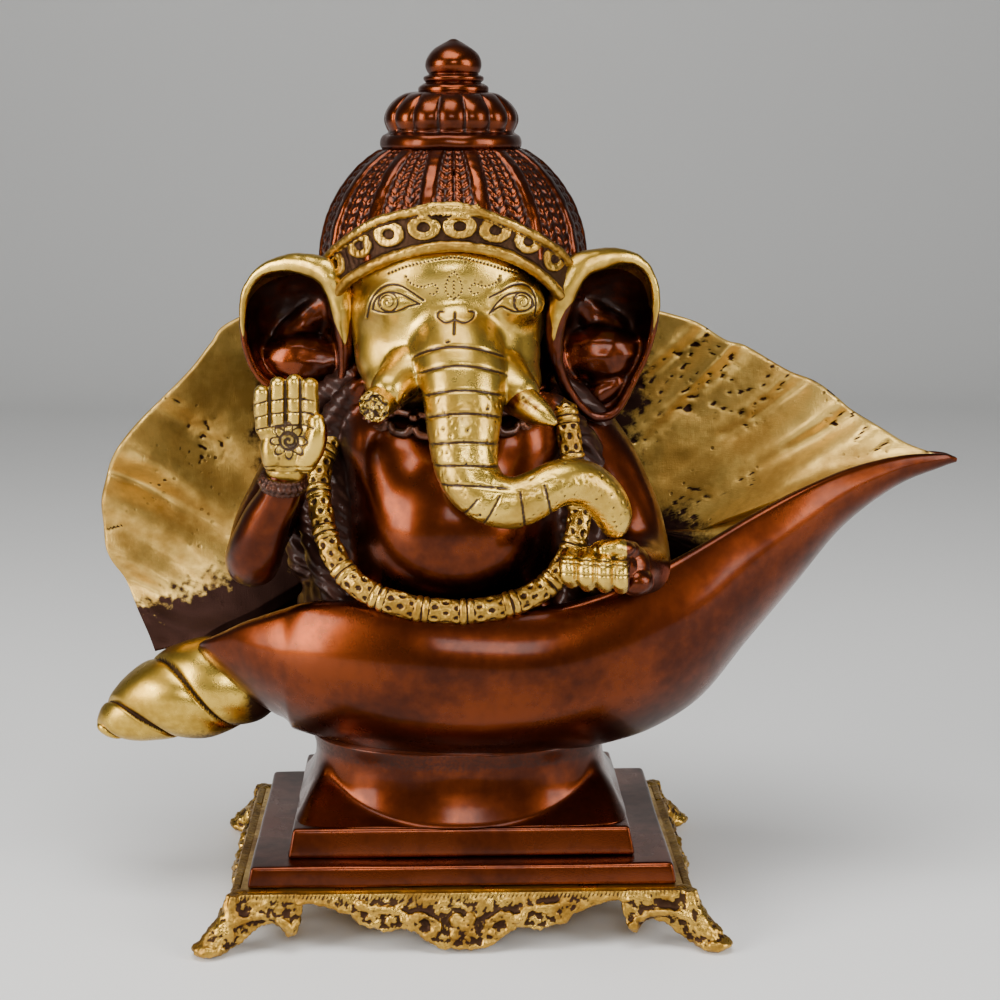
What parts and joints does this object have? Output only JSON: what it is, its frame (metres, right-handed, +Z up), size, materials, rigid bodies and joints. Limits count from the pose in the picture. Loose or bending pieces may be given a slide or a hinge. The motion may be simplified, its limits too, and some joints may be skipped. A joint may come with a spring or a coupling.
{
  "type": "ganesha idol",
  "caption": "Cast brass elephant-headed idol with raised palm, seated in a conch shell with a flared fluted lip, on a stepped plinth with a footed frame.",
  "frame": {"origin": "on the table, under the middle of the whole idol's bounding box", "axes": "+X to the viewer's right along the conch's length, +Y away from the viewer, +Z up"},
  "size_m": [0.3055, 0.1428, 0.3049],
  "materials": {
    "polished_brass": "polished cast brass with dark patina in the engraved lines and hollows",
    "satin_brass": "hand-brushed cast brass with casting pits and brown patina towards the root",
    "gilt_frame": "rough cast brass with worn bright high spots and dark brown hollows",
    "brown_patina": "brass with a glossy reddish-brown copper patina under lacquer",
    "dark_patina": "brass with a nearly black brown patina on worn beads",
    "steel": "zinc-plated steel hardware"
  },
  "bodies": {
    "root": {"foot_front_left": "gilt_frame", "foot_front_right": "gilt_frame", "foot_back_left": "gilt_frame", "foot_back_right": "gilt_frame", "apron_front": "gilt_frame", "apron_back": "gilt_frame", "apron_left": "gilt_frame", "apron_right": "gilt_frame", "frame_plate": "gilt_frame", "plinth_lower": "brown_patina", "plinth_upper": "brown_patina", "pedestal_neck": "brown_patina", "conch_body": "brown_patina", "conch_spire": "polished_brass", "conch_wing": "satin_brass", "torso": "brown_patina", "right_arm": "brown_patina", "right_bracelet": "dark_patina", "right_hand": "polished_brass", "left_arm": "brown_patina", "left_hand": "polished_brass", "head": "polished_brass", "trunk": "polished_brass", "right_tusk": "polished_brass", "left_tusk": "polished_brass", "right_ear": "polished_brass", "left_ear": "polished_brass", "headband": "satin_brass", "crown_dome": "brown_patina", "crown_bulb": "brown_patina", "crown_finial": "brown_patina", "necklace": "dark_patina", "garland": "satin_brass", "tie_rod": "steel", "tie_washer": "steel", "tie_nut": "steel"}
  },
  "joints": []
}
